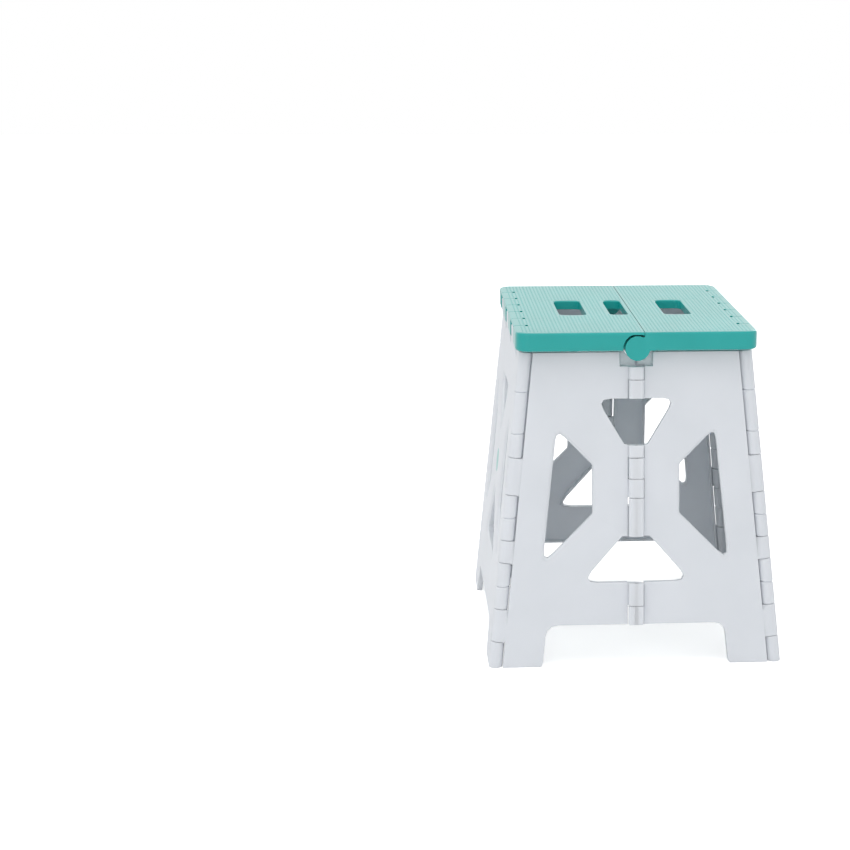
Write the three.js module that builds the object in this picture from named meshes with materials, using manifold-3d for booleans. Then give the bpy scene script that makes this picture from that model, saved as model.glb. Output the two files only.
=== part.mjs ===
// Folding plastic step stool: two solid end panels, two folding side walls and a seat in two halves.
// Millimetres, +Z up, X along the seat's seam, origin on the floor at the middle of the base.
import * as THREE from 'three';
import { mergeVertices } from 'three/addons/utils/BufferGeometryUtils.js';
import Module from 'manifold-3d';

const wasm = await Module();
wasm.setup();

// Overall sizes
const seatHeight = 320;
const seatLength = 298;
const seatWidth = 227;
const baseLength = 320.6;
const baseWidth = 281;
const bodyTopLength = 273.4;
const bodyTopWidth = 219;

// Walls and running gaps
const gap = 0.4;
const pinGap = 0.3;
const slit = 0.6;
const overrun = 2;
const plateWall = 2.8;
const rimWall = 2.4;
const ribWall = 1.8;
const leafSink = 0.1;

// Facets
const cornerSegments = 3;
const hiddenSegments = 2;
const edgeSegments = 2;
const knuckleSides = 12;
const lugSides = 16;
const boreSides = 6;

// Seat
const seatDepth = 18;
const seatDeck = 3;
const seatSkirt = 3.2;
const seatCornerRadius = 14;
const seatEdgeRound = 2.5;
const seamOffset = 6.5;
const seamGap = 0.5;
const topGap = 2.4;

// Upright corner hinges, and where their barrels change hands, as shares of the body's height
const cornerKnuckleRadius = 6.25;
const cornerPinRadius = 1.75;
const cornerKnuckleShares = [0.0824, 0.187, 0.335, 0.407, 0.551, 0.669];

// Middle hinges of the side walls, and where the barrels of each row change hands
const middleKnuckleRadius = 7.3;
const middlePinRadius = 1.5;
const middlePinPlay = 0.4;
const middleAxisStandoff = 3.15;
const middleKnuckleRise = 5;
const lowerKnuckleShares = [0.453];
const hubKnuckleShares = [0.425, 0.632, 0.86];
const upperKnuckleShares = [0.586];

// Tabs on the end panels, which hold the seat's outer edges under tongues of its deck
const tabWidth = 42;
const tabPitch = 83.2;
const tabRadius = 5.6;
const tabInset = 6.5;
const tabNeckWall = 6.4;
const tabRodRadius = 1.5;
const tabTongue = 2;
const tongueSlit = 0.8;

const white = { color: 0xe6e9ee, roughness: 0.42, metalness: 0 };
const mint = { color: 0x9fd8d6, roughness: 0.45, metalness: 0 };
const paleMint = { color: 0xa8d3cd, roughness: 0.5, metalness: 0 };
const steel = { color: 0xb9bcbe, roughness: 0.3, metalness: 0.9 };

// Derived body lines: how far each wall leans in, and where the hinge axes run
const underSeat = seatHeight - seatDepth;
const panelLean = Math.atan((baseWidth - bodyTopWidth) / 2 / underSeat);
const sideLean = Math.atan((baseLength - bodyTopLength) / 2 / underSeat);
const cornerFootX = baseLength / 2 - cornerKnuckleRadius / Math.cos(sideLean);
const cornerFootY = baseWidth / 2 - cornerKnuckleRadius / Math.cos(panelLean);
const apexHeight = cornerFootY / Math.tan(panelLean);
const apexX = cornerFootX - apexHeight * Math.tan(sideLean);
const bodyTop = underSeat - topGap;
const rodLine = seatWidth / 2 - tabInset;
const rodHeight = seatHeight - tabTongue - gap - tabRadius;

const vector = (x, y, z) => new THREE.Vector3(x, y, z);
const group = new THREE.Group();

// Closed geometry to solid, and back

function solidOf(geometry, matrix) {
  const bare = geometry.index ? geometry.toNonIndexed() : geometry.clone();
  bare.deleteAttribute('normal');
  bare.deleteAttribute('uv');
  if (matrix) bare.applyMatrix4(matrix);
  const merged = mergeVertices(bare);
  return new wasm.Manifold(new wasm.Mesh({
    numProp: 3,
    vertProperties: new Float32Array(merged.attributes.position.array),
    triVerts: new Uint32Array(merged.index.array),
  }));
}

function geometryOf(solid) {
  const mesh = solid.getMesh();
  const geometry = new THREE.BufferGeometry();
  geometry.setAttribute('position', new THREE.BufferAttribute(new Float32Array(mesh.vertProperties), 3));
  geometry.setIndex(new THREE.BufferAttribute(new Uint32Array(mesh.triVerts), 1));
  return geometry;
}

function addPiece(name, solid, look) {
  const geometry = geometryOf(solid);
  geometry.computeVertexNormals();
  const mesh = new THREE.Mesh(geometry, new THREE.MeshStandardMaterial(look));
  mesh.name = name;
  group.add(mesh);
  return mesh;
}

function join(solids) {
  return solids.reduce((whole, next) => whole.add(next));
}

function cutAll(solid, cutters) {
  return cutters.reduce((rest, cutter) => rest.subtract(cutter), solid);
}

// Outlines: corner points with a radius each, rounded and offset

function corner(x, y, radius) {
  return { x, y, radius: radius || 0 };
}

function roundedShape(corners, segments) {
  const shape = new THREE.Shape();
  const count = corners.length;
  corners.forEach((here, index) => {
    const before = corners[(index + count - 1) % count];
    const after = corners[(index + 1) % count];
    const point = new THREE.Vector2(here.x, here.y);
    const toBefore = new THREE.Vector2(before.x, before.y).sub(point);
    const toAfter = new THREE.Vector2(after.x, after.y).sub(point);
    const room = Math.min(toBefore.length(), toAfter.length()) / 2;
    const halfTurn = toBefore.angleTo(toAfter) / 2;
    const reach = Math.min(here.radius / Math.tan(halfTurn), room);
    const start = point.clone().add(toBefore.setLength(reach));
    const end = point.clone().add(toAfter.setLength(reach));
    if (index === 0) shape.moveTo(start.x, start.y);
    else shape.lineTo(start.x, start.y);
    if (here.radius > 0) shape.quadraticCurveTo(here.x, here.y, end.x, end.y);
  });
  shape.closePath();
  return new THREE.Shape(dropRepeats(shape.getPoints(segments || cornerSegments)));
}

function dropRepeats(points) {
  const tiny = gap / 100;
  return points.filter((point, index) => {
    const next = points[(index + 1) % points.length];
    return point.distanceTo(next) > tiny;
  });
}

function signedArea(corners) {
  return corners.reduce((sum, here, index) => {
    const next = corners[(index + 1) % corners.length];
    return sum + (here.x * next.y - next.x * here.y) / 2;
  }, 0);
}

// Moves every edge outwards by the distance, or inwards when it is negative
function offsetCorners(corners, distance) {
  const turn = Math.sign(signedArea(corners));
  const count = corners.length;
  return corners.map((here, index) => {
    const before = corners[(index + count - 1) % count];
    const after = corners[(index + 1) % count];
    const into = new THREE.Vector2(here.x - before.x, here.y - before.y).normalize();
    const out = new THREE.Vector2(after.x - here.x, after.y - here.y).normalize();
    const normalIn = new THREE.Vector2(into.y, -into.x).multiplyScalar(turn);
    const normalOut = new THREE.Vector2(out.y, -out.x).multiplyScalar(turn);
    const mitre = normalIn.clone().add(normalOut);
    mitre.multiplyScalar(distance / (1 + normalIn.dot(normalOut)));
    const convex = (into.x * out.y - into.y * out.x) * turn > 0;
    const radius = here.radius > 0 ? Math.max(here.radius + (convex ? distance : -distance), gap) : 0;
    return corner(here.x + mitre.x, here.y + mitre.y, radius);
  });
}

function mirrored(corners) {
  return corners.map((here) => corner(-here.x, here.y, here.radius)).reverse();
}

// Extrudes a shape from one level to another along its own z
function prism(shape, from, to, matrix) {
  const geometry = new THREE.ExtrudeGeometry(shape, { depth: to - from, bevelEnabled: false, steps: 1 });
  geometry.translate(0, 0, from);
  return solidOf(geometry, matrix);
}

// A closed skin between two outlines that have the same number of points
function loft(lowerShape, lowerLevel, upperShape, upperLevel, matrix) {
  const lower = lowerShape.getPoints();
  const upper = upperShape.getPoints();
  const count = lower.length;
  const caps = THREE.ShapeUtils.triangulateShape(lower, []);
  const positions = [];
  lower.forEach((point) => positions.push(point.x, point.y, lowerLevel));
  upper.forEach((point) => positions.push(point.x, point.y, upperLevel));
  const faces = [];
  const forwards = THREE.ShapeUtils.area(lower) > 0;
  const face = (a, b, c) => faces.push(...(forwards ? [a, b, c] : [a, c, b]));
  caps.forEach(([a, b, c]) => {
    faces.push(a, c, b);
    faces.push(a + count, b + count, c + count);
  });
  lower.forEach((_, index) => {
    const next = (index + 1) % count;
    face(index, next, next + count);
    face(index, next + count, index + count);
  });
  const geometry = new THREE.BufferGeometry();
  geometry.setAttribute('position', new THREE.Float32BufferAttribute(positions, 3));
  geometry.setIndex(faces);
  return solidOf(geometry, matrix);
}

function box(fromX, toX, fromY, toY, fromZ, toZ, matrix) {
  const geometry = new THREE.BoxGeometry(toX - fromX, toY - fromY, toZ - fromZ);
  geometry.translate((fromX + toX) / 2, (fromY + toY) / 2, (fromZ + toZ) / 2);
  return solidOf(geometry, matrix);
}

// Frames: a wall's own x runs along it, y up its slope and z out of its outer face

const panelFrame = new THREE.Matrix4().makeBasis(
  vector(1, 0, 0),
  vector(0, Math.sin(panelLean), Math.cos(panelLean)),
  vector(0, -Math.cos(panelLean), Math.sin(panelLean)),
).setPosition(0, -baseWidth / 2, 0);

const sideFrame = new THREE.Matrix4().makeBasis(
  vector(0, 1, 0),
  vector(-Math.sin(sideLean), 0, Math.cos(sideLean)),
  vector(Math.cos(sideLean), 0, Math.sin(sideLean)),
).setPosition(baseLength / 2, 0, 0);

// Profiles drawn across X, then run along it: their own x is world y and their own y is world z
const acrossFrame = new THREE.Matrix4().makeBasis(vector(0, 1, 0), vector(0, 0, 1), vector(1, 0, 0));

const apex = vector(apexX, 0, apexHeight);
const cornerFoot = vector(cornerFootX, -cornerFootY, 0);
const middleFoot = vector(baseLength / 2 + middleAxisStandoff / Math.cos(sideLean), 0, 0);

// A hinge frame's z runs up the axis, its x points away from the leaf and its y out of the leaf's face
function hingeFrame(foot, outward, awayFromLeaf) {
  const along = apex.clone().sub(foot).normalize();
  const across = awayFromLeaf.clone().addScaledVector(along, -awayFromLeaf.dot(along)).normalize();
  const out = along.clone().cross(across);
  if (out.dot(outward) < 0) out.negate();
  const handed = across.clone().cross(out).dot(along) > 0;
  const frame = new THREE.Matrix4().makeBasis(across, out, handed ? along : along.clone().negate());
  frame.setPosition(foot.x, foot.y, foot.z);
  return { frame, rise: along.z, handed };
}

// Runs a profile along a hinge axis between two heights above the floor
function alongHinge(shape, hinge, fromHeight, toHeight) {
  const from = fromHeight / hinge.rise;
  const to = toHeight / hinge.rise;
  return hinge.handed ? prism(shape, from, to, hinge.frame) : prism(shape, -to, -from, hinge.frame);
}

function circle(radius, sides, x, y) {
  const points = [];
  for (let index = 0; index < sides; index += 1) {
    const angle = (index + 1 / 2) * 2 * Math.PI / sides;
    points.push(new THREE.Vector2((x || 0) + radius * Math.cos(angle), (y || 0) + radius * Math.sin(angle)));
  }
  return new THREE.Shape(points);
}

const boreFlat = Math.cos(Math.PI / boreSides);

function bore(pinRadius, clearance, x, y) {
  return circle((pinRadius + clearance) / boreFlat, boreSides, x, y);
}

// Knuckle whose round barrel is level with its leaf's outer face
function flushKnuckle(radius, reach, wall, pinRadius) {
  const barrel = circle(radius / Math.cos(Math.PI / knuckleSides), knuckleSides);
  const leaf = roundedShape([
    corner(-reach, radius - wall), corner(0, radius - wall),
    corner(0, radius - leafSink), corner(-reach, radius - leafSink),
  ]);
  return { barrel, leaf, hole: bore(pinRadius, pinGap) };
}

function knuckleSolid(profile, hinge, fromHeight, toHeight) {
  const low = fromHeight + gap / 2;
  const high = toHeight - gap / 2;
  const barrel = alongHinge(profile.barrel, hinge, low, high);
  return barrel.add(alongHinge(profile.leaf, hinge, low, high));
}

// Deals the stretches of a row of knuckles out to its two leaves in turn
function dealt(marks) {
  const stretches = marks.slice(1).map((mark, index) => [marks[index], mark]);
  return [0, 1].map((turn) => stretches.filter((_, index) => index % 2 === turn));
}

function splitRow(from, to, shares) {
  return dealt([from, ...shares.map((share) => from + (to - from) * share), to]);
}

const [panelStretches, sideStretches] = dealt([
  -overrun, ...cornerKnuckleShares.map((share) => share * bodyTop), bodyTop,
]);
const slitReach = cornerKnuckleRadius + slit;

// The cut through a wall, with its flared outer edge
const cutoutBevel = 3.2;
const cutoutBevelDepth = 2;

function cutoutCutter(corners, depth, frame) {
  const inner = roundedShape(corners);
  const flare = cutoutBevel * (cutoutBevelDepth + gap) / cutoutBevelDepth;
  const flared = roundedShape(offsetCorners(corners, flare));
  return prism(inner, -depth - overrun, overrun, frame).add(loft(inner, -cutoutBevelDepth, flared, gap, frame));
}

// The low part of each foot, which stays solid so that the stool stands on full soles
function footFloor() {
  return box(-seatLength, seatLength, -seatWidth, seatWidth, -seatWidth, rimWall);
}

function belowFloor() {
  return box(-seatLength, seatLength, -seatWidth, seatWidth, -seatWidth, 0);
}

const footRound = 5;

// Solid end panel, drawn in its own x and y

const panelRimDepth = 5.5;
const footInnerWidth = 215;
const panelArchHeight = 31.6;
const panelArchWidth = 195;
const panelArchRound = 10;

const topCutoutDepth = 11;
const topCutoutHeadShare = 0.8361;
const topCutoutTipShare = 0.6609;
const topCutoutHalf = 45;
const topCutoutHeadRound = 9;
const topCutoutTipRound = 7;

const bottomCutoutDepth = 12;
const bottomCutoutFootShare = 0.2654;
const bottomCutoutHeadShare = 0.4606;
const bottomCutoutFootHalf = 66;
const bottomCutoutHeadHalf = 8;
const bottomCutoutFootRound = 8;
const bottomCutoutHeadRound = 5;

const flankCutoutDepth = 8;
const flankCutoutNear = 67.6;
const flankCutoutNearLowShare = 0.4506;
const flankCutoutNearHighShare = 0.6809;
const flankCutoutLowShare = 0.3238;
const flankCutoutLowFar = 110.8;
const flankCutoutHighShare = 0.7827;
const flankCutoutHighFar = 99.5;
const flankCutoutRound = 5.5;

const topCutoutHead = topCutoutHeadShare * bodyTop;
const topCutoutTip = topCutoutTipShare * bodyTop;
const bottomCutoutFoot = bottomCutoutFootShare * bodyTop;
const bottomCutoutHead = bottomCutoutHeadShare * bodyTop;
const flankCutoutNearLow = flankCutoutNearLowShare * bodyTop;
const flankCutoutNearHigh = flankCutoutNearHighShare * bodyTop;
const flankCutoutLow = flankCutoutLowShare * bodyTop;
const flankCutoutHigh = flankCutoutHighShare * bodyTop;
const panelOutward = vector(0, -Math.cos(panelLean), Math.sin(panelLean));
const panelTopAlong = bodyTop / Math.cos(panelLean);

function panelEdge(along) {
  return cornerFootX - along * Math.cos(panelLean) * Math.tan(sideLean) - slitReach;
}

const panelOutline = [
  corner(-panelEdge(-overrun), -overrun),
  corner(-footInnerWidth / 2, -gap, footRound),
  corner(-panelArchWidth / 2, panelArchHeight, panelArchRound),
  corner(panelArchWidth / 2, panelArchHeight, panelArchRound),
  corner(footInnerWidth / 2, -gap, footRound),
  corner(panelEdge(-overrun), -overrun),
  corner(panelEdge(panelTopAlong), panelTopAlong),
  corner(-panelEdge(panelTopAlong), panelTopAlong),
];
const topCutout = [
  corner(-topCutoutHalf, topCutoutHead, topCutoutHeadRound),
  corner(0, topCutoutTip, topCutoutTipRound),
  corner(topCutoutHalf, topCutoutHead, topCutoutHeadRound),
];
const flankCutout = [
  corner(flankCutoutNear, flankCutoutNearLow, flankCutoutRound),
  corner(flankCutoutLowFar, flankCutoutLow, flankCutoutRound),
  corner(flankCutoutHighFar, flankCutoutHigh, flankCutoutRound),
  corner(flankCutoutNear, flankCutoutNearHigh, flankCutoutRound),
];
const bottomCutout = [
  corner(-bottomCutoutFootHalf, bottomCutoutFoot, bottomCutoutFootRound),
  corner(bottomCutoutFootHalf, bottomCutoutFoot, bottomCutoutFootRound),
  corner(bottomCutoutHeadHalf, bottomCutoutHead, bottomCutoutHeadRound),
  corner(-bottomCutoutHeadHalf, bottomCutoutHead, bottomCutoutHeadRound),
];

function solidPanel() {
  const cutouts = [
    [topCutout, topCutoutDepth],
    [flankCutout, flankCutoutDepth],
    [mirrored(flankCutout), flankCutoutDepth],
    [bottomCutout, bottomCutoutDepth],
  ];
  const inset = roundedShape(offsetCorners(panelOutline, -rimWall), hiddenSegments);
  const pocket = prism(inset, -panelRimDepth - overrun, -plateWall, panelFrame).subtract(footFloor());
  let body = prism(roundedShape(panelOutline), -panelRimDepth, 0, panelFrame).subtract(pocket);
  const rims = cutouts.map(([corners, depth]) => (
    prism(roundedShape(offsetCorners(corners, rimWall), hiddenSegments), -depth, -plateWall / 2, panelFrame)));
  body = join([body, ...rims, ...panelRibs()]);
  body = cutAll(body, cutouts.map(([corners, depth]) => cutoutCutter(corners, depth, panelFrame)));
  const knuckle = flushKnuckle(cornerKnuckleRadius, slitReach + rimWall, plateWall, cornerPinRadius);
  const hinges = [1, -1].map((handSign) => panelHinge(handSign));
  const knuckles = hinges.flatMap((hinge) => (
    panelStretches.map(([low, high]) => knuckleSolid(knuckle, hinge, low, high))));
  body = join([body, ...knuckles, ...tabs()]);
  body = cutAll(body, hinges.map((hinge) => alongHinge(knuckle.hole, hinge, -overrun, seatHeight)));
  const rodHole = bore(tabRodRadius, pinGap, -rodLine, rodHeight);
  return cutAll(body, [prism(rodHole, -seatLength, seatLength, acrossFrame), belowFloor()]);
}

function panelHinge(handSign) {
  const hinge = hingeFrame(cornerFoot, panelOutward, vector(1, 0, 0));
  if (handSign > 0) return hinge;
  const mirror = new THREE.Matrix4().makeScale(-1, 1, 1);
  const flip = new THREE.Matrix4().makeScale(1, 1, -1);
  return { frame: mirror.multiply(hinge.frame).multiply(flip), rise: hinge.rise, handed: !hinge.handed };
}

// Stiffening behind the web: a ring round the hub and a rib along each arm of the X
const hubHeightShare = 0.5607;
const hubRingRadius = 15;
const hubRingDepth = 10;
const upperArmReach = 54;
const upperArmHeightShare = 0.7477;
const lowerArmReach = 88;
const lowerArmHeightShare = 0.2603;

const hubHeight = hubHeightShare * bodyTop;
const upperArmHeight = upperArmHeightShare * bodyTop;
const lowerArmHeight = lowerArmHeightShare * bodyTop;

function panelRibs() {
  const ring = prism(circle(hubRingRadius, knuckleSides, 0, hubHeight), -hubRingDepth, -plateWall / 2,
    panelFrame);
  const ringHole = prism(circle(hubRingRadius - rimWall, knuckleSides, 0, hubHeight), -hubRingDepth - overrun,
    -plateWall, panelFrame);
  const ends = [[upperArmReach, upperArmHeight], [lowerArmReach, lowerArmHeight]];
  const arms = ends.flatMap(([reach, height]) => [[reach, height], [-reach, height]]).map(([endX, endY]) => {
    const length = Math.hypot(endX, endY - hubHeight);
    const place = new THREE.Matrix4().makeRotationZ(Math.atan2(endY - hubHeight, endX));
    place.setPosition(0, hubHeight, 0);
    return box(hubRingRadius - rimWall / 2, length, -ribWall / 2, ribWall / 2, -panelRimDepth, -plateWall / 2,
      panelFrame.clone().multiply(place));
  });
  return [ring.subtract(ringHole), ...arms];
}

// The tabs stand up from the panel's head, flush with the seat's edge, and wrap the rod
function tabs() {
  const neckFoot = bodyTop - tabRadius * 2;
  const neckFaceY = -baseWidth / 2 + neckFoot * Math.tan(panelLean);
  const tabFaceY = -rodLine - tabRadius;
  const neck = roundedShape([
    corner(neckFaceY, neckFoot),
    corner(neckFaceY + tabNeckWall, neckFoot),
    corner(tabFaceY + tabNeckWall * 3 / 2, rodHeight),
    corner(tabFaceY, rodHeight),
    corner(tabFaceY, underSeat + gap),
  ]);
  const barrel = circle(tabRadius / Math.cos(Math.PI / knuckleSides), knuckleSides, -rodLine, rodHeight);
  return [-tabPitch, 0, tabPitch].flatMap((middle) => (
    [neck, barrel].map((shape) => prism(shape, middle - tabWidth / 2, middle + tabWidth / 2, acrossFrame))));
}

// Folding side wall. Each half is drawn left of the wall's middle line, in the wall's own x and y.

const sideDepth = 7;
const sideFootInner = 89.5;
const sideArchInner = 85;
const sideArchHeight = 40;
const sideArchRound = 12;

const lowerCutoutFootShare = 0.2704;
const lowerCutoutHeadShare = 0.4189;
const lowerCutoutFootHalf = 52;
const lowerCutoutHeadHalf = 13;
const upperCutoutFootShare = 0.7109;
const upperCutoutHeadShare = 0.8561;
const upperCutoutFootHalf = 11;
const upperCutoutHeadHalf = 37;
const middleCutoutRound = 7;
const middleCutoutTightRound = 4;

const windowNear = 41.4;
const windowNearLowShare = 0.4907;
const windowNearHighShare = 0.6469;
const windowFootShare = 0.3321;
const windowFootFar = 88.7;
const windowHeadShare = 0.761;
const windowHeadFar = 74.9;
const windowRound = 5;
const windowTightRound = 4;

const headNotchHalf = 15.5;
const headNotchDepth = 13.5;

const lowerCutoutFoot = lowerCutoutFootShare * bodyTop;
const lowerCutoutHead = lowerCutoutHeadShare * bodyTop;
const upperCutoutFoot = upperCutoutFootShare * bodyTop;
const upperCutoutHead = upperCutoutHeadShare * bodyTop;
const windowNearLow = windowNearLowShare * bodyTop;
const windowNearHigh = windowNearHighShare * bodyTop;
const windowFoot = windowFootShare * bodyTop;
const windowHead = windowHeadShare * bodyTop;
const sideOutward = vector(Math.cos(sideLean), 0, Math.sin(sideLean));
const sideRise = Math.cos(sideLean);
const sideTopAlong = bodyTop / sideRise;
const headNotchFoot = sideTopAlong - headNotchDepth;
const middleEdge = middleKnuckleRadius + slit;

function sideEdge(along) {
  return cornerFootY - along * sideRise * Math.tan(panelLean) - slitReach;
}

const sideWindow = [
  corner(-windowHeadFar, windowHead, windowRound),
  corner(-windowNear, windowNearHigh, windowTightRound),
  corner(-windowNear, windowNearLow, windowTightRound),
  corner(-windowFootFar, windowFoot, windowRound),
];
const sideOutline = [
  corner(-sideEdge(-overrun), -overrun),
  corner(-sideFootInner, -gap, footRound),
  corner(-sideArchInner, sideArchHeight, sideArchRound),
  corner(-middleEdge, sideArchHeight),
  corner(-middleEdge, lowerCutoutFoot),
  corner(-lowerCutoutFootHalf, lowerCutoutFoot, middleCutoutRound),
  corner(-lowerCutoutHeadHalf, lowerCutoutHead, middleCutoutTightRound),
  corner(-middleEdge, lowerCutoutHead),
  corner(-middleEdge, upperCutoutFoot),
  corner(-upperCutoutFootHalf, upperCutoutFoot, middleCutoutTightRound),
  corner(-upperCutoutHeadHalf, upperCutoutHead, middleCutoutRound),
  corner(-middleEdge, upperCutoutHead),
  corner(-middleEdge, headNotchFoot),
  corner(-headNotchHalf, headNotchFoot),
  corner(-headNotchHalf, sideTopAlong),
  corner(-sideEdge(sideTopAlong), sideTopAlong),
];

// The three rows of middle knuckles. In each, the trailing half has the lowest knuckle.
const middleRows = {
  lower: [sideArchHeight * sideRise, lowerCutoutFoot * sideRise, lowerKnuckleShares],
  hub: [lowerCutoutHead * sideRise, upperCutoutFoot * sideRise, hubKnuckleShares],
  upper: [upperCutoutHead * sideRise, headNotchFoot * sideRise, upperKnuckleShares],
};
const [trailingStretches, leadingStretches] = [0, 1].map((turn) => (
  Object.values(middleRows).flatMap(([from, to, shares]) => splitRow(from, to, shares)[turn])));

// How far the middle hinge's axis stands outside the wall's face at a height: it runs to the same apex
function middleStandoffAt(height) {
  const total = middleAxisStandoff + cornerKnuckleRadius;
  return total * (1 - height / apexHeight) - cornerKnuckleRadius;
}

// A barrel with a flat crown, which stands a little proud of the wall's face
function middleKnuckle(standoff) {
  const crown = middleKnuckleRise - standoff;
  const round = circle(middleKnuckleRadius, knuckleSides).getPoints();
  const points = round.map((point) => new THREE.Vector2(point.x, Math.min(point.y, crown)));
  const count = points.length;
  return new THREE.Shape(points.filter((point, index) => {
    const near = [points[(index + 1) % count], points[(index + count - 1) % count]];
    return [point, ...near].some((other) => other.y < crown);
  }));
}

function middleLeaf(standoff) {
  const top = -standoff - leafSink * 3;
  const bottom = -standoff - (sideDepth + plateWall) / 2;
  const end = -middleEdge - rimWall;
  return roundedShape([corner(end, bottom), corner(0, bottom), corner(0, top), corner(end, top)]);
}

function sideHalf(leads) {
  const handSign = leads ? 1 : -1;
  const outline = leads ? sideOutline : mirrored(sideOutline);
  const opening = leads ? sideWindow : mirrored(sideWindow);
  const stretches = leads ? leadingStretches : trailingStretches;
  const openingRim = prism(roundedShape(offsetCorners(opening, rimWall), hiddenSegments),
    -sideDepth - overrun * 2, 0, sideFrame);
  const inset = roundedShape(offsetCorners(outline, -rimWall), hiddenSegments);
  const pocket = prism(inset, -sideDepth - overrun, -plateWall, sideFrame)
    .subtract(openingRim)
    .subtract(footFloor());
  let body = prism(roundedShape(outline), -sideDepth, 0, sideFrame).subtract(pocket);
  body = body.subtract(cutoutCutter(opening, sideDepth, sideFrame));
  const cornerHinge = hingeFrame(vector(cornerFoot.x, handSign * cornerFoot.y, 0), sideOutward,
    vector(0, -handSign, 0));
  const knuckle = flushKnuckle(cornerKnuckleRadius, slitReach + rimWall, plateWall + gap, cornerPinRadius);
  const cornerKnuckles = sideStretches.map(([low, high]) => knuckleSolid(knuckle, cornerHinge, low, high));
  body = join([body, ...cornerKnuckles]).subtract(alongHinge(knuckle.hole, cornerHinge, -overrun, seatHeight));
  const middleHinge = hingeFrame(middleFoot, sideOutward, vector(0, handSign, 0));
  const middleKnuckles = stretches.map(([low, high]) => {
    const standoff = middleStandoffAt((low + high) / 2);
    return knuckleSolid({ barrel: middleKnuckle(standoff), leaf: middleLeaf(standoff) }, middleHinge, low, high);
  });
  const pinRoom = leads ? pinGap : pinGap + middlePinPlay;
  const pinHole = alongHinge(bore(middlePinRadius, pinRoom), middleHinge, 0, seatHeight);
  return cutAll(join([body, ...middleKnuckles]), [pinHole, belowFloor()]);
}

// Seat: a plate with a skirt, in two halves that meet at the seam

const slotLength = 90;
const slotNear = 38;
const slotWidth = 26.5;
const slotRound = 7;
const fingerSlotFrom = -14.8;
const fingerSlotTo = 2.6;
const slotRimDepth = 9;
const slotRimWall = 2;
const slotFlare = 1.2;
const seamWall = 2.9;
const frontSeamWallDepth = 5.9;
const rearSeamWallDepth = 4.8;
const rodRibLength = 21.6;
const innerDeckRib = 72;
const outerDeckRib = 120;
const deckRibNear = 18;
const crossRib = 80;
const reliefInset = 13;
const reliefLength = 8;
const reliefWidth = 2.6;
const reliefDepth = 4;

// Centre hinge of the seat: lugs that hang below it at both ends
const lugRadius = 11.7;
const lugReach = 17;
const lugShoulder = 5;
const lugTongue = 2.6;
const lugPlay = 1.8;
const lugAxisDepth = 15.5;
const endLugWidth = 10.4;
const middleLugWidth = 11.6;
const innerLugWidth = 11.2;
const seatPinRadius = 2;
const seatPinPlay = 6.3;
const seatPinReach = 4;
const lugAxisZ = seatHeight - lugAxisDepth;

// A box on one side of the seat's middle line, between two distances from it
function sideBox(sideSign, fromX, toX, near, far, fromZ, toZ) {
  const [low, high] = [sideSign * near, sideSign * far].sort((a, b) => a - b);
  return box(fromX, toX, low, high, fromZ, toZ);
}

function bothEnds([from, to]) {
  return [[from, to], [-to, -from]];
}

function seatPlan(inset) {
  const farX = seatLength / 2;
  const farY = seatWidth / 2;
  const places = [[-farX, -farY], [farX, -farY], [farX, farY], [-farX, farY]];
  return offsetCorners(places.map(([x, y]) => corner(x, y, seatCornerRadius)), -inset);
}

function seatBlock() {
  const geometry = new THREE.ExtrudeGeometry(roundedShape(seatPlan(seatEdgeRound), cornerSegments * 2), {
    depth: seatDepth - 2 * seatEdgeRound,
    bevelEnabled: true,
    bevelThickness: seatEdgeRound,
    bevelSize: seatEdgeRound,
    bevelSegments: edgeSegments,
    steps: 1,
  });
  geometry.translate(0, 0, underSeat + seatEdgeRound);
  return solidOf(geometry);
}

function slotCorners(fromY, toY) {
  const half = slotLength / 2;
  return [corner(-half, fromY, slotRound), corner(half, fromY, slotRound),
    corner(half, toY, slotRound), corner(-half, toY, slotRound)];
}

function slotCutter(corners) {
  const inner = roundedShape(corners);
  const flared = roundedShape(offsetCorners(corners, slotFlare + gap));
  return prism(inner, underSeat, seatHeight + overrun)
    .add(loft(inner, seatHeight - slotFlare, flared, seatHeight + gap));
}

// The room under the deck, with a low wall left along the seam
function seatHollow(sideSign, seamFace) {
  const far = seatWidth;
  const inside = prism(roundedShape(seatPlan(seatSkirt), hiddenSegments), 0, seatHeight - seatDeck);
  const nearWall = sideSign * seamFace + seamWall;
  const clear = inside.intersect(sideBox(sideSign, -far, far, nearWall, far, -overrun, seatHeight));
  const underWall = sideSign < 0
    ? sideBox(sideSign, -far, far, -far, lugRadius / 2, 0, seatHeight - frontSeamWallDepth)
    : sideBox(sideSign, seatSkirt - seatLength / 2, seatLength / 2 - seatSkirt, 0, lugReach, 0,
      seatHeight - rearSeamWallDepth);
  return clear.add(underWall);
}

// Ribs that carry the rod, one on each side of every tab
function rodRibs(sideSign) {
  const outer = seatWidth / 2 - seatSkirt / 2;
  const inner = seatWidth / 2 - rodRibLength;
  return [-tabPitch, 0, tabPitch].flatMap((middle) => [-1, 1].map((end) => {
    const face = middle + end * (tabWidth / 2 + gap);
    const from = Math.min(face, face + end * rimWall);
    return sideBox(sideSign, from, from + rimWall, inner, outer, underSeat + seatEdgeRound,
      seatHeight - seatDeck / 2);
  }));
}

// Shallow stiffening ribs under the deck
function deckRibs(sideSign) {
  const low = seatHeight - slotRimDepth;
  const high = seatHeight - seatDeck / 2;
  const far = seatWidth / 2 - seatSkirt / 2;
  const places = [innerDeckRib, outerDeckRib].flatMap((place) => [place, -place]);
  const across = places.map((x) => (
    sideBox(sideSign, x - ribWall / 2, x + ribWall / 2, deckRibNear, far, low, high)));
  const reach = seatLength / 2 - seatSkirt / 2;
  return [...across, sideBox(sideSign, -reach, reach, crossRib - ribWall / 2, crossRib + ribWall / 2, low, high)];
}

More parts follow.
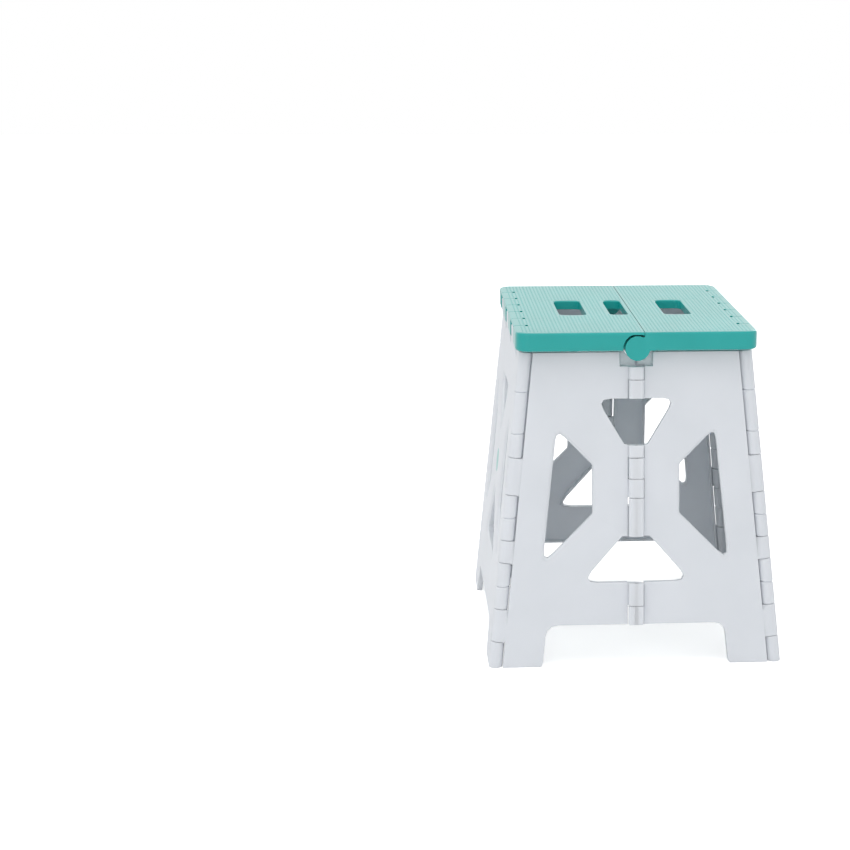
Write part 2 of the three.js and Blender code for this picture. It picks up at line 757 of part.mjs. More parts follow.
// Room for each tab under a tongue of the deck. A slit runs along both sides of the tongue, into a relief hole.
function tabRooms(sideSign) {
  const half = tabWidth / 2 + gap;
  const edge = seatWidth / 2;
  const roomDepth = tabInset + tabRadius + 2 * gap;
  const slitEnd = edge - reliefInset;
  const reliefY = sideSign * slitEnd;
  return [-tabPitch, 0, tabPitch].flatMap((middle) => [
    sideBox(sideSign, middle - half, middle + half, edge - roomDepth, seatWidth, 0, seatHeight - tabTongue),
    ...[-1, 1].flatMap((end) => {
      const from = middle + end * (half - tongueSlit / 2) - tongueSlit / 2;
      const relief = [[-1, -1], [1, -1], [1, 1], [-1, 1]].map(([alongX, alongY]) => corner(
        from + tongueSlit / 2 + alongX * reliefLength / 2, reliefY + alongY * reliefWidth / 2, reliefWidth / 2));
      return [
        sideBox(sideSign, from, from + tongueSlit, slitEnd, seatWidth, underSeat, seatHeight + overrun),
        prism(roundedShape(relief, hiddenSegments), seatHeight - reliefDepth, seatHeight + overrun),
      ];
    }),
  ]);
}

// A lug's round barrel, and the neck that ties it to its half of the seat under the other half's tongue
function seatLug(sideSign, fromX, toX, seamFace) {
  const foot = underSeat + gap;
  const shoulder = seatHeight - lugShoulder;
  const underDeck = seatHeight - seatDeck / 2;
  const reach = sideSign * lugReach;
  const barrel = circle(lugRadius, lugSides, 0, lugAxisZ);
  const lower = roundedShape([
    corner(0, foot), corner(reach, foot), corner(reach, shoulder), corner(0, shoulder),
  ]);
  const upper = roundedShape([
    corner(seamFace, foot), corner(reach, foot), corner(reach, underDeck), corner(seamFace, underDeck),
  ]);
  return join([barrel, lower, upper].map((shape) => prism(shape, fromX, toX, acrossFrame)));
}

// The front half holds the middle lug of each end, the rear half the two beside it
const outerLug = [seatLength / 2 - endLugWidth, seatLength / 2];
const middleLug = [outerLug[0] - gap - middleLugWidth, outerLug[0] - gap];
const innerLug = [middleLug[0] - gap - innerLugWidth, middleLug[0] - gap];
const seatPinSpan = [middleLug[0] - seatPinReach, middleLug[1] + seatPinReach];

// Room for the other half's lugs, which move a little against this half as the stool folds
function otherLugRooms(sideSign) {
  const round = circle((lugRadius + lugPlay) / Math.cos(Math.PI / lugSides), lugSides, 0, lugAxisZ);
  const underTongue = box(-seatLength, seatLength, -seatWidth, seatWidth, 0, seatHeight - lugTongue);
  return (sideSign < 0 ? [outerLug, innerLug] : [middleLug]).flatMap(bothEnds).map(([from, to]) => (
    prism(round, from - gap, to + gap, acrossFrame).intersect(underTongue)));
}

// The pin sits tight in the middle lug and reaches a little way into blind pockets of the lugs beside it
function seatPinHoles(sideSign) {
  const hole = bore(seatPinRadius, sideSign < 0 ? pinGap : seatPinPlay, 0, lugAxisZ);
  const [from, to] = seatPinSpan;
  return bothEnds([from - gap, to + gap]).map(([low, high]) => prism(hole, low, high, acrossFrame));
}

function seatHalf(sideSign) {
  const seamFace = seamOffset + sideSign * seamGap / 2;
  const far = seatWidth;
  const slots = sideSign < 0
    ? [slotCorners(-slotNear - slotWidth, -slotNear), slotCorners(fingerSlotFrom, fingerSlotTo)]
    : [slotCorners(slotNear, slotNear + slotWidth)];
  const slotRims = slots.map((corners) => prism(roundedShape(offsetCorners(corners, slotRimWall), hiddenSegments),
    seatHeight - slotRimDepth, seatHeight - seatDeck / 2));
  const lugs = (sideSign < 0 ? [middleLug] : [outerLug, innerLug]).flatMap(bothEnds)
    .map(([from, to]) => seatLug(sideSign, from, to, seamFace));
  const rodRun = tabPitch + tabWidth / 2 + seatSkirt * 3;
  const rodHole = prism(bore(tabRodRadius, pinGap, sideSign * rodLine, rodHeight), -rodRun, rodRun, acrossFrame);
  const ownSide = sideBox(sideSign, -far, far, sideSign * seamFace, far, 0, seatHeight + overrun);
  let body = seatBlock().intersect(ownSide);
  body = body.subtract(seatHollow(sideSign, seamFace));
  body = join([body, ...slotRims, ...rodRibs(sideSign), ...deckRibs(sideSign)]);
  body = cutAll(body, [...tabRooms(sideSign), ...otherLugRooms(sideSign)]);
  body = join([body, ...lugs]);
  return cutAll(body, [...seatPinHoles(sideSign), ...slots.map(slotCutter), rodHole]);
}

// Pins and rods

function cornerPin() {
  return alongHinge(circle(cornerPinRadius, boreSides), panelHinge(1), 2 * gap, bodyTop - 2 * gap);
}

function middlePin(from, to) {
  const hinge = hingeFrame(middleFoot, sideOutward, vector(0, 1, 0));
  return alongHinge(circle(middlePinRadius, boreSides), hinge, from + gap, to - gap);
}

function edgeRod() {
  const run = tabPitch + tabWidth / 2 + rimWall + gap;
  return prism(circle(tabRodRadius, boreSides, -rodLine, rodHeight), -run, run, acrossFrame);
}

function seatPin() {
  return prism(circle(seatPinRadius, boreSides, 0, lugAxisZ), ...seatPinSpan, acrossFrame);
}

// The same piece on the other side: turned half way round the stool's middle, or mirrored in y
function turned(solid) {
  return solidOf(geometryOf(solid), new THREE.Matrix4().makeRotationZ(Math.PI));
}

function mirroredInY(solid) {
  return solid.mirror([0, 1, 0]);
}

// Blank disc let into the front panel's hub
const hubDiscRadius = 11.4;
const hubDiscDepth = 1.4;

const panel = solidPanel();
const discSeat = prism(circle(hubDiscRadius + pinGap, lugSides, 0, hubHeight), -hubDiscDepth - pinGap, overrun,
  panelFrame);
addPiece('front_panel', panel.subtract(discSeat), white);
addPiece('rear_panel', turned(panel), white);
const disc = prism(circle(hubDiscRadius, lugSides, 0, hubHeight), -hubDiscDepth, 0, panelFrame);
addPiece('hub_disc', disc, paleMint);

const leading = sideHalf(true);
const trailing = sideHalf(false);
addPiece('right_side_front_half', leading, white);
addPiece('right_side_rear_half', trailing, white);
addPiece('left_side_front_half', turned(trailing), white);
addPiece('left_side_rear_half', turned(leading), white);

addPiece('seat_front_half', seatHalf(-1), mint);
addPiece('seat_rear_half', seatHalf(1), mint);

const pin = cornerPin();
addPiece('corner_pin_front_right', pin, steel);
addPiece('corner_pin_rear_right', mirroredInY(pin), steel);
addPiece('corner_pin_rear_left', turned(pin), steel);
addPiece('corner_pin_front_left', turned(mirroredInY(pin)), steel);

Object.entries(middleRows).forEach(([row, [from, to]]) => {
  addPiece(`right_side_${row}_pin`, middlePin(from, to), steel);
  addPiece(`left_side_${row}_pin`, turned(middlePin(from, to)), steel);
});

addPiece('seat_edge_rod_front', edgeRod(), steel);
addPiece('seat_edge_rod_rear', turned(edgeRod()), steel);
addPiece('seat_pin_right', seatPin(), steel);
addPiece('seat_pin_left', turned(seatPin()), steel);

export default group;
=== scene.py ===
import math

import bmesh
import bpy
from mathutils import Matrix, Vector


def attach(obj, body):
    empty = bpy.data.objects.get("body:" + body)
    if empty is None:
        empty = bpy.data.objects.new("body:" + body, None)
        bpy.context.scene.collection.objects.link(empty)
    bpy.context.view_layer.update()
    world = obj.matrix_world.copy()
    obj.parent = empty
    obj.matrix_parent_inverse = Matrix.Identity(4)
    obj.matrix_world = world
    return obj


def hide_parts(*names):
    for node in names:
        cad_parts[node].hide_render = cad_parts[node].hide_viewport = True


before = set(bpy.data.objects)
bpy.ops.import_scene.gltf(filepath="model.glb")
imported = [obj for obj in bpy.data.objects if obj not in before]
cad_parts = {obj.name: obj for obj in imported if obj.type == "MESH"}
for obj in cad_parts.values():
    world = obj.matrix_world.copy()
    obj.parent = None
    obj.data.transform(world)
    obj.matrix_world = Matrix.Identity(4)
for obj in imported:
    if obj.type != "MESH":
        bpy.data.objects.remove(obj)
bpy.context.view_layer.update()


# Camera
# The camera of the photograph, fitted on the stool's own straight edges. It looks along the seam from the
# right, a little from above and a little from the front.

photo_pixels = 850
focal_pixels = 2248.3
axis_pixel_x = 604.3
axis_pixel_y = 525.9
photo_middle_share = 0.5
camera_place = Vector((2.1971, -0.2336, 0.6673))
camera_turn_to_front = 0.099
camera_yaw = math.pi - camera_turn_to_front
camera_pitch = -0.253
camera_roll = 0.007
camera_reach = 20
sensor_width = 36

camera_data = bpy.data.cameras.new("photo_camera")
camera_data.sensor_width = sensor_width
camera_data.lens = sensor_width * focal_pixels / photo_pixels
camera_data.shift_x = photo_middle_share - axis_pixel_x / photo_pixels
camera_data.shift_y = axis_pixel_y / photo_pixels - photo_middle_share
camera_data.clip_end = camera_reach

forward = Vector((
    math.cos(camera_yaw) * math.cos(camera_pitch),
    math.sin(camera_yaw) * math.cos(camera_pitch),
    math.sin(camera_pitch),
))
level_right = Vector((math.sin(camera_yaw), -math.cos(camera_yaw), 0))
level_up = level_right.cross(forward)
camera_right = math.cos(camera_roll) * level_right + math.sin(camera_roll) * level_up
camera_up = camera_right.cross(forward)
camera_turn = Matrix((camera_right, camera_up, -forward)).transposed()

camera = bpy.data.objects.new("photo_camera", camera_data)
camera.matrix_world = Matrix.Translation(camera_place) @ camera_turn.to_4x4()
bpy.context.scene.collection.objects.link(camera)
bpy.context.scene.camera = camera
bpy.context.scene.view_settings.view_transform = "Standard"


# Light
# A white studio: an even white surround, a large soft lamp overhead and weaker ones at the front and the
# back. The camera and glossy surfaces see plain white in place of the surround.

opaque = 1


# A node tree, in which add() makes every new node: its settings are set first and then its sockets
class Graph:
    def __init__(self, tree):
        self.tree = tree

    def add(self, kind, settings, sockets):
        node = self.tree.nodes.new(kind)
        for name, value in settings.items():
            if name == "stops":
                self.set_stops(node.color_ramp.elements, value)
            else:
                setattr(node, name, value)
        self.join(node, sockets)
        return node

    def node(self, kind, output, settings, sockets):
        return Wire(self, self.add(kind, settings, sockets).outputs[output])

    def join(self, node, sockets):
        for name, value in sockets.items():
            if isinstance(value, Wire):
                self.tree.links.new(value.socket, node.inputs[name])
            else:
                node.inputs[name].default_value = value

    def set_stops(self, elements, stops):
        for element, (place, colour) in zip(elements, stops):
            element.position = place
            element.color = (*colour, opaque)

    def maths(self, operation, first, second=0):
        return self.node("ShaderNodeMath", "Value", {"operation": operation}, {0: first, 1: second})


# One output of a node, in sums that add Math nodes
class Wire:
    def __init__(self, graph, socket):
        self.graph = graph
        self.socket = socket

    def __add__(self, other):
        return self.graph.maths("ADD", self, other)

    def __radd__(self, other):
        return self.graph.maths("ADD", other, self)

    def __sub__(self, other):
        return self.graph.maths("SUBTRACT", self, other)

    def __rsub__(self, other):
        return self.graph.maths("SUBTRACT", other, self)

    def __mul__(self, other):
        return self.graph.maths("MULTIPLY", self, other)

    def __rmul__(self, other):
        return self.graph.maths("MULTIPLY", other, self)

    def __truediv__(self, other):
        return self.graph.maths("DIVIDE", self, other)

    def __rtruediv__(self, other):
        return self.graph.maths("DIVIDE", other, self)

    def __mod__(self, other):
        return self.graph.maths("MODULO", self, other)

    def __rmod__(self, other):
        return self.graph.maths("MODULO", other, self)


surround_colour = (0.97, 0.985, 1, opaque)
surround_strength = 0.77
plain_white = (1, 1, 1, opaque)
backdrop_strength = 1

studio = bpy.data.worlds.new("studio")
studio.use_nodes = True
bpy.context.scene.world = studio
studio_graph = Graph(studio.node_tree)
surround_node = studio.node_tree.nodes["Background"]
studio_graph.join(surround_node, {"Color": surround_colour, "Strength": surround_strength})
camera_ray = studio_graph.node("ShaderNodeLightPath", "Is Camera Ray", {}, {})
glossy_ray = studio_graph.node("ShaderNodeLightPath", "Is Glossy Ray", {}, {})
backdrop = studio_graph.node("ShaderNodeBackground", "Background", {},
                             {"Color": plain_white, "Strength": backdrop_strength})
studio_light = studio_graph.node("ShaderNodeMixShader", "Shader", {}, {
    "Fac": studio_graph.maths("MAXIMUM", camera_ray, glossy_ray),
    1: Wire(studio_graph, surround_node.outputs["Background"]),
    2: backdrop,
})
studio_graph.join(studio.node_tree.nodes["World Output"], {"Surface": studio_light})

stool_middle = Vector((0, 0, 0.18))
overhead_place = Vector((0.5, -0.5, 2.2))
overhead_size = 1.6
overhead_watts = 13
front_place = Vector((2.7, -0.7, 0.8))
front_watts = 3
back_place = Vector((-2.3, 1.3, 1.2))
back_watts = 6
side_lamp_size = 1.2


def soft_lamp(name, place, size, watts):
    data = bpy.data.lights.new(name, "AREA")
    data.shape = "DISK"
    data.size = size
    data.energy = watts
    lamp = bpy.data.objects.new(name, data)
    lamp.location = place
    lamp.rotation_euler = (stool_middle - place).to_track_quat("-Z", "Y").to_euler()
    bpy.context.scene.collection.objects.link(lamp)


soft_lamp("overhead", overhead_place, overhead_size, overhead_watts)
soft_lamp("front", front_place, side_lamp_size, front_watts)
soft_lamp("back", back_place, side_lamp_size, back_watts)


# Walls
# Two end panels and four side halves, each one injection moulding of cool white polypropylene. Corner pins
# join them through the ringed barrels on their upright edges. The mould leaves every rim and cutout softly
# rounded, and its surface has a fine eroded grain.

white_low = (0.745, 0.767, 0.80)
white_high = (0.78, 0.80, 0.835)
white_cloud_scale = 14
white_grain_scale = 1600
white_smoothest = 0.36
white_grain_spread = 0.10
white_grain_strength = 0.12
white_shine = 0.45
white_glow_weight = 0.4
white_glow_depth = 0.0035
white_glow_colour = (1, 1, 1)
cloud_detail = 3
cloud_low_share = 0.3
cloud_high_share = 0.7
grain_detail = 2
grain_depth = 0.0002


# A material, with the nodes that colour it and give it its grain
class Finish:
    def __init__(self, name):
        self.material = bpy.data.materials.new(name)
        self.material.use_nodes = True
        self.graph = Graph(self.material.node_tree)
        self.shader = self.material.node_tree.nodes["Principled BSDF"]

    def wears(self, sockets):
        self.graph.join(self.shader, sockets)

    def noise(self, scale, detail):
        place = self.graph.node("ShaderNodeTexCoord", "Object", {}, {})
        return self.graph.node("ShaderNodeTexNoise", "Fac", {},
                               {"Vector": place, "Scale": scale, "Detail": detail})

    def between(self, mix, low_share, low, high_share, high):
        return self.graph.node("ShaderNodeValToRGB", "Color",
                               {"stops": [(low_share, low), (high_share, high)]}, {"Fac": mix})

    def relief(self, height, strength):
        return self.graph.node("ShaderNodeBump", "Normal", {},
                               {"Height": height, "Strength": strength, "Distance": grain_depth})


white = Finish("white_plastic")
clouds = white.noise(white_cloud_scale, cloud_detail)
grain = white.noise(white_grain_scale, grain_detail)
white.wears({
    "Base Color": white.between(clouds, cloud_low_share, white_low, cloud_high_share, white_high),
    "Roughness": grain * white_grain_spread + white_smoothest,
    "Normal": white.relief(grain, white_grain_strength),
    "Specular IOR Level": white_shine,
    "Subsurface Weight": white_glow_weight,
    "Subsurface Radius": white_glow_colour,
    "Subsurface Scale": white_glow_depth,
})

sharp_turn = math.radians(44)
flat_turn = math.radians(0.6)
merge_gap = 2e-6
wall_round = 0.0007
round_steps = 2
round_profile = 0.5
room_for_round = 1.5
pin_cap_depth = 0.001
ring_levels = (0.078, 0.1436, 0.2233, 0.2623)
ring_half_width = 0.0006
ring_depth = 0.0018
ring_inner = 0.0055
ring_outer = 0.0068
ring_reach = 0.03
cut_gap = 1e-6
level_gap = 1e-5
wall_bodies = {
    "front_panel": "front_panel",
    "rear_panel": "rear_panel",
    "left_side_front_half": "left_front",
    "left_side_rear_half": "left_rear",
    "right_side_front_half": "right_front",
    "right_side_rear_half": "right_rear",
}


# A rounded copy of one solid, in its finish
def dressed(node_name, body, finish, edge_round, lowered_top=0, ring_axes=()):
    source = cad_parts[node_name]
    mesh = source.data.copy()
    mesh.materials.clear()
    mesh.materials.append(finish.material)
    form = bmesh.new()
    form.from_mesh(mesh)
    bmesh.ops.remove_doubles(form, verts=form.verts, dist=merge_gap)
    top = max(vertex.co.z for vertex in form.verts)
    for vertex in form.verts:
        if vertex.co.z > top - lowered_top / 2:
            vertex.co.z -= lowered_top
    for axis in ring_axes:
        for level in ring_levels:
            cut_ring(form, axis, level)
    bmesh.ops.dissolve_limit(form, angle_limit=flat_turn, verts=form.verts, edges=form.edges)
    bmesh.ops.triangulate(form, faces=form.faces, quad_method="BEAUTY", ngon_method="BEAUTY")
    rims = [edge for edge in form.edges if edge.is_manifold and edge.calc_face_angle(0) > sharp_turn
            and room_beside(edge) > edge_round * room_for_round]
    bmesh.ops.bevel(form, geom=rims, offset=edge_round, offset_type="OFFSET", segments=round_steps,
                    profile=round_profile, affect="EDGES", clamp_overlap=False, harden_normals=False)
    keep_within(form, source.bound_box)
    bmesh.ops.recalc_face_normals(form, faces=form.faces)
    form.to_mesh(mesh)
    form.free()
    mesh.validate()
    mesh.polygons.foreach_set("use_smooth", [True] * len(mesh.polygons))
    mesh.set_sharp_from_angle(angle=sharp_turn)
    piece = bpy.data.objects.new(node_name + "_moulding", mesh)
    bpy.context.scene.collection.objects.link(piece)
    even_shading = piece.modifiers.new("even_shading", "WEIGHTED_NORMAL")
    even_shading.keep_sharp = True
    settle(piece, even_shading)
    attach(piece, body)
    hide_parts(node_name)
    return piece


# A fine ring line round a hinge barrel: three level cuts, of which the middle one is drawn in
def cut_ring(form, axis, level):
    low, high = axis
    middle = low.lerp(high, (level - low.z) / (high.z - low.z))
    for cut_height in (-ring_half_width, 0, ring_half_width):
        near = [face for face in form.faces if (face.calc_center_bounds() - middle).xy.length < ring_reach]
        parts = near + list({edge for face in near for edge in face.edges})
        parts += list({vertex for face in near for vertex in face.verts})
        cut_place = middle + Vector((0, 0, cut_height))
        bmesh.ops.bisect_plane(form, geom=parts, plane_co=cut_place, plane_no=(0, 0, 1), dist=cut_gap)
    for vertex in form.verts:
        outward = (vertex.co - middle).xy
        if abs(vertex.co.z - level) < level_gap and ring_inner < outward.length < ring_outer:
            vertex.co.xy -= outward.normalized() * ring_depth


# The narrower of the two faces beside an edge, as the height of a triangle on it
def room_beside(edge):
    return min(2 * face.calc_area() / edge.calc_length() for face in edge.link_faces)


# No point of a rounded form passes the box of its solid
def keep_within(form, box):
    reaches = [(min(values), max(values)) for values in zip(*box)]
    for vertex in form.verts:
        vertex.co = [min(max(value, low), high) for value, (low, high) in zip(vertex.co, reaches)]


# A modifier's result, kept as the piece's plain mesh
def settle(piece, modifier):
    shaped = piece.evaluated_get(bpy.context.evaluated_depsgraph_get())
    mesh = bpy.data.meshes.new_from_object(shaped)
    piece.modifiers.remove(modifier)
    piece.data = mesh


# The two ends of a pin's middle line, read from its solid
def line_of(pin_name):
    points = [vertex.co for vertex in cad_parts[pin_name].data.vertices]
    ends = []
    for level in (min(point.z for point in points), max(point.z for point in points)):
        cap = [point for point in points if abs(point.z - level) < pin_cap_depth]
        ends.append(Vector([(min(values) + max(values)) / 2 for values in zip(*cap)]))
    return ends


for wall, wall_body in wall_bodies.items():
    barrel_lines = []
    if wall.endswith("panel"):
        end = wall.removesuffix("_panel")
        barrel_lines = [line_of("corner_pin_" + end + "_" + side) for side in ("left", "right")]
    dressed(wall, wall_body, white, wall_round, ring_axes=barrel_lines)


# Knuckle skins
# The lowest knuckle in the middle of each side wall is moulded thin outside its pin. This skin of the same
# white plastic is part of that moulding and closes the bore at the front.

skin_depth = 0.0003
skin_set = 0.00003
skin_half_width = 0.0018
knuckle_reach = 0.0075
lowest_knuckles = {"right": "right_side_rear_half", "left": "left_side_front_half"}
sides = {"right": 1, "left": -1}


# The direction up a side wall's middle hinge
def along_hinge(side):
    low, high = line_of(side + "_side_lower_pin")
    return (high - low).normalized()


# The direction that a side wall faces
def out_of_wall(side):
    along = along_hinge(side)
    return Vector((along.z, 0, -along.x)) * sides[side]


# A thin closed plate of white plastic between two outlines that have as many points
def plate(name, body, outer, inner):
    form = bmesh.new()
    rings = [[form.verts.new(point) for point in outline] for outline in (outer, inner)]
    for ring in rings:
        form.faces.new(ring)
    pairs = list(zip(*rings))
    for before, after in zip(pairs, pairs[1:] + pairs[:1]):
        form.faces.new((*before, *reversed(after)))
    bmesh.ops.recalc_face_normals(form, faces=form.faces)
    mesh = bpy.data.meshes.new(name)
    form.to_mesh(mesh)
    form.free()
    mesh.materials.append(white.material)
    piece = bpy.data.objects.new(name, mesh)
    bpy.context.scene.collection.objects.link(piece)
    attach(piece, body)


for side, knuckle_half in lowest_knuckles.items():
    low, high = line_of(side + "_side_lower_pin")
    along = along_hinge(side)
    outward = out_of_wall(side)
    points = [vertex.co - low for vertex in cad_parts[knuckle_half].data.vertices
              if vertex.co.z < high.z and abs(vertex.co.y) < knuckle_reach]
    crown = max(point.dot(outward) for point in points)
    marks = [point.dot(along) for point in points if point.dot(outward) > crown - skin_depth / 2]
    strip = [(min(marks), -skin_half_width), (max(marks), -skin_half_width),
             (max(marks), skin_half_width), (min(marks), skin_half_width)]
    outer, inner = [
        [low + along * mark + outward * depth + Vector((0, y, 0)) for mark, y in strip]
        for depth in (crown - skin_set, crown - skin_depth)
    ]
    plate(side + "_knuckle_skin", wall_bodies[knuckle_half], outer, inner)


# Notch backs
# Under the seam's hinge each side wall has a notch that is a pocket, not a window. The moulding closes it at
# the back with this thin white wall, which leaves a round clearance for the hinge's travel.

seam_axis_z = 0.3045
hinge_clearance = 0.0120
back_outer_y = 0.0158
back_inner_y = 0.0012
back_low = 0.2835
back_high = 0.3012
back_thickness = 0.0015
back_set = 0.0048
other_knuckle_side = 0.0088
other_knuckle_top = 0.2869
arc_steps = 12
arc_start = math.asin(back_inner_y / hinge_clearance)
arc_end = math.acos((seam_axis_z - back_high) / hinge_clearance)


def arc_point(share):
    turn = arc_start + (arc_end - arc_start) * share
    return hinge_clearance * math.sin(turn), seam_axis_z - hinge_clearance * math.cos(turn)


hinge_arc = [arc_point(step / arc_steps) for step in range(arc_steps + 1)]
back_edge = [(back_outer_y, back_high), (back_outer_y, back_low)]
foot_under_own_knuckle = [(back_inner_y, back_low)]
foot_beside_other_knuckle = [(other_knuckle_side, back_low), (other_knuckle_side, other_knuckle_top),
                             (back_inner_y, other_knuckle_top)]
own_top_knuckle = ("right_side_front_half", "left_side_rear_half")
ends = {"front": -1, "rear": 1}
for wall, wall_body in wall_bodies.items():
    if wall.endswith("panel"):
        continue
    side, end = wall_body.split("_")
    outward = out_of_wall(side)
    rim = [vertex.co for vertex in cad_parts[wall].data.vertices
           if vertex.co.z > seam_axis_z - hinge_clearance and abs(vertex.co.y) > back_outer_y]
    wall_face = max(point.dot(outward) for point in rim)
    foot = foot_under_own_knuckle if wall in own_top_knuckle else foot_beside_other_knuckle
    outline = hinge_arc + back_edge + foot
    outer, inner = [
        [((wall_face - depth - outward.z * z) / outward.x, y * ends[end], z) for y, z in outline]
        for depth in (back_set, back_set + back_thickness)
    ]
    plate(wall + "_notch_back", wall_body, outer, inner)


# Seat
# Two injection mouldings of mint plastic that meet at the seam and turn on a pin at each end of it. Rods
# join their outer edges to the end panels' tabs. Their rims are crisper than the walls', because the tongues
# between the slits are thin.

mint_low = (0.006, 0.37, 0.345)
mint_high = (0.012, 0.41, 0.385)
mint_cloud_scale = 18
mint_grain_scale = 1500
mint_smoothest = 0.25
mint_grain_spread = 0.10
mint_grain_strength = 0.15
mint_density = 1.38
gloss_weight = 1
gloss_density = 1.32
gloss_roughness = 0.3

mint = Finish("mint_plastic")
mint_clouds = mint.noise(mint_cloud_scale, cloud_detail)
mint_grain = mint.noise(mint_grain_scale, grain_detail)
mint.wears({
    "Base Color": mint.between(mint_clouds, cloud_low_share, mint_low, cloud_high_share, mint_high),
    "Roughness": mint_grain * mint_grain_spread + mint_smoothest,
    "Normal": mint.relief(mint_grain, mint_grain_strength),
    "IOR": mint_density,
    "Coat Weight": gloss_weight,
    "Coat IOR": gloss_density,
    "Coat Roughness": gloss_roughness,
})

seat_round = 0.0003
bead_height = 0.0002
seat_bodies = {"seat_front_half": "seat_front", "seat_rear_half": "seat_rear"}
decks = {}
for seat_half, seat_body in seat_bodies.items():
    decks[seat_half] = dressed(seat_half, seat_body, mint, seat_round, bead_height)


# Grip
# Low oval beads of the same mint plastic, moulded over the whole top of the seat. They lie in rows along the
# seam, large and small rows by turns, and stop short of the seam, the slots, the tongue slits and the rim.

row_pitch_size = 0.00343
bead_pitch_size = 0.0042
bead_length_size = 0.0036
bead_width_size = 0.0026
clear_margin_size = 0.0026
field_length_size = 0.298
field_width_size = 0.250
seat_top = 0.32
probe_lift = 0.001
probe_reach = 0.0011
stagger_share = 0.5
small_row_loss_share = 0.35
bead_sides = 8
bead_top_share = 0.22
bead_foot_share = 0.5
first_row_number = 200.25
every_other = 2

grip = Graph(bpy.data.node_groups.new("grip_beads", "GeometryNodeTree"))
grip.tree.interface.new_socket("Geometry", in_out="OUTPUT", socket_type="NodeSocketGeometry")
grip_start = grip.add("NodeGroupInput", {}, {})


def asked(name, kind):
    grip.tree.interface.new_socket(name, in_out="INPUT", socket_type="NodeSocket" + kind)
    return Wire(grip, grip_start.outputs[name])


def whole(value):
    return grip.maths("FLOOR", value)


def vector(x, y, z):
    return grip.node("ShaderNodeCombineXYZ", "Vector", {}, {"X": x, "Y": y, "Z": z})


deck = asked("Deck", "Geometry")
row_pitch = asked("Row Pitch", "Float")
bead_pitch = asked("Bead Pitch", "Float")
bead_length = asked("Bead Length", "Float")
bead_width = asked("Bead Width", "Float")
height = asked("Bead Height", "Float")
margin = asked("Clear Margin", "Float")
field_length = asked("Field Length", "Float")
field_width = asked("Field Width", "Float")
deck_level = asked("Deck Level", "Float")
bead_finish = asked("Finish", "Material")

beads_along = whole(field_length / bead_pitch)
rows_across = whole(field_width / row_pitch)
places = grip.node("GeometryNodeMeshGrid", "Mesh", {}, {
    "Size X": beads_along * bead_pitch,
    "Size Y": rows_across * row_pitch,
    "Vertices X": beads_along + 1,
    "Vertices Y": rows_across + 1,
})
spot = grip.node("GeometryNodeInputPosition", "Position", {}, {})
# Rows are numbered from the middle with a high first number, so that none is negative
across = grip.node("ShaderNodeSeparateXYZ", "Y", {}, {"Vector": spot})
small_row = whole(across / row_pitch + first_row_number) % every_other
stagger = vector(small_row * bead_pitch * stagger_share, 0, deck_level)
staggered = grip.node("GeometryNodeSetPosition", "Geometry", {}, {"Geometry": places, "Offset": stagger})

# A bead stays where a ray down from each of four points round it meets the deck
clear = 1
for side_x, side_y in ((1, 0), (-1, 0), (0, 1), (0, -1)):
    offset = vector(margin * side_x, margin * side_y, probe_lift)
    probe = grip.node("ShaderNodeVectorMath", "Vector", {"operation": "ADD"}, {0: spot, 1: offset})
    hit = grip.node("GeometryNodeRaycast", "Is Hit", {}, {
        "Target Geometry": deck,
        "Source Position": probe,
        "Ray Direction": (0, 0, -1),
        "Ray Length": probe_reach,
    })
    clear = clear * hit
free = grip.node("GeometryNodeDeleteGeometry", "Geometry", {"domain": "POINT"},
                 {"Geometry": staggered, "Selection": 1 - clear})
bead = grip.node("GeometryNodeMeshCone", "Mesh", {}, {
    "Vertices": bead_sides,
    "Radius Top": bead_top_share,
    "Radius Bottom": bead_foot_share,
    "Depth": 1,
})
bead_share = 1 - small_row * small_row_loss_share
bead_size = vector(bead_length * bead_share, bead_width * bead_share, height)
beads = grip.node("GeometryNodeInstanceOnPoints", "Instances", {},
                  {"Points": free, "Instance": bead, "Scale": bead_size})
solid_beads = grip.node("GeometryNodeRealizeInstances", "Geometry", {}, {"Geometry": beads})
finished_beads = grip.node("GeometryNodeSetMaterial", "Geometry", {},
                           {"Geometry": solid_beads, "Material": bead_finish})
grip.add("NodeGroupOutput", {}, {"Geometry": finished_beads})

grip_sizes = {
    "Row Pitch": row_pitch_size,
    "Bead Pitch": bead_pitch_size,
    "Bead Length": bead_length_size,
    "Bead Width": bead_width_size,
    "Bead Height": bead_height,
    "Clear Margin": clear_margin_size,
    "Field Length": field_length_size,
    "Field Width": field_width_size,
    "Deck Level": seat_top - bead_height,
    "Finish": mint.material,
}
for seat_half, seat_body in seat_bodies.items():
    patch = bpy.data.objects.new(seat_half + "_grip", decks[seat_half].data.copy())
    bpy.context.scene.collection.objects.link(patch)
    rows = patch.modifiers.new("rows", "NODES")
    rows.node_group = grip.tree
    for item in grip.tree.interface.items_tree:
        if item.name in grip_sizes:
            rows[item.identifier] = grip_sizes[item.name]
    settle(patch, rows)
    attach(patch, seat_body)


# Hub disc
# A blank round inlay of pale mint plastic, pressed into the middle of the front panel. Its solid is right as
# it is and only gets its finish.

disc_low = (0.39, 0.64, 0.61)
disc_high = (0.42, 0.67, 0.64)
disc_grain_scale = 1200
disc_smoothest = 0.42
disc_grain_spread = 0.15
disc_grain_strength = 0.1

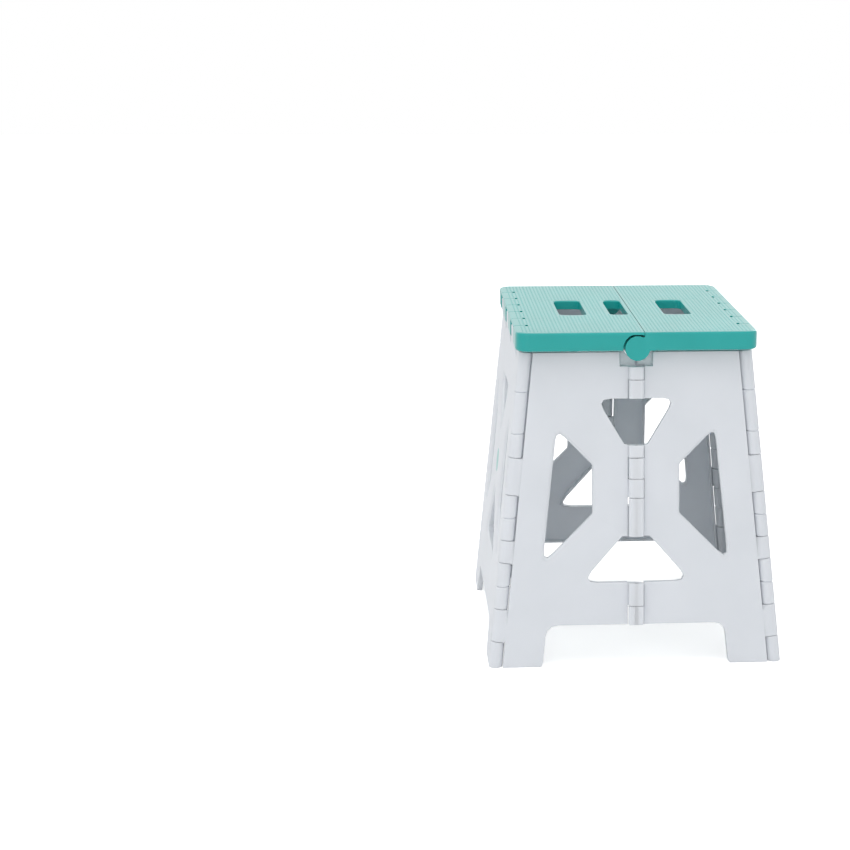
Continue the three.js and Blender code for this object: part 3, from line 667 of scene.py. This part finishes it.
disc = Finish("pale_mint_disc")
disc_grain = disc.noise(disc_grain_scale, grain_detail)
disc.wears({
    "Base Color": disc.between(disc_grain, cloud_low_share, disc_low, cloud_high_share, disc_high),
    "Roughness": disc_grain * disc_grain_spread + disc_smoothest,
    "Normal": disc.relief(disc_grain, disc_grain_strength),
})


def refinished(node_name, finish):
    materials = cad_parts[node_name].data.materials
    materials.clear()
    materials.append(finish.material)


refinished("hub_disc", disc)


# Pins and rods
# Cut lengths of drawn steel wire, pushed into the bores of the hinges and through the tabs. Their solids are
# right as they are and only get their finish, with fine drawing marks.

steel_low = (0.52, 0.53, 0.54)
steel_high = (0.64, 0.65, 0.66)
steel_low_share = 0.2
steel_high_share = 0.8
steel_mark_scale = 900
steel_mark_detail = 4
steel_smoothest = 0.25
steel_mark_spread = 0.2

steel = Finish("steel_wire")
steel_marks = steel.noise(steel_mark_scale, steel_mark_detail)
steel.wears({
    "Base Color": steel.between(steel_marks, steel_low_share, steel_low, steel_high_share, steel_high),
    "Roughness": steel_marks * steel_mark_spread + steel_smoothest,
    "Metallic": 1,
})
for node_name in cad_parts:
    if "pin" in node_name or "rod" in node_name:
        refinished(node_name, steel)


# Floor
# The studio's plain pale floor, on which the stool stands on its feet. It is white to the camera and keeps
# the soft shadow. It isn't part of the stool.

floor_half = 6
floor_colour = (0.93, 0.93, 0.93, opaque)
floor_roughness = 0.9
floor_glow = 0.6

floor_mesh = bpy.data.meshes.new("floor")
floor_corners = [(-floor_half, -floor_half, 0), (floor_half, -floor_half, 0),
                 (floor_half, floor_half, 0), (-floor_half, floor_half, 0)]
floor_mesh.from_pydata(floor_corners, [], [range(len(floor_corners))])
floor = bpy.data.objects.new("floor", floor_mesh)
bpy.context.scene.collection.objects.link(floor)
floor_white = Finish("floor_white")
floor_camera_ray = floor_white.graph.node("ShaderNodeLightPath", "Is Camera Ray", {}, {})
floor_white.wears({
    "Base Color": floor_colour,
    "Roughness": floor_roughness,
    "Emission Color": plain_white,
    "Emission Strength": floor_camera_ray * floor_glow,
})
floor_mesh.materials.append(floor_white.material)
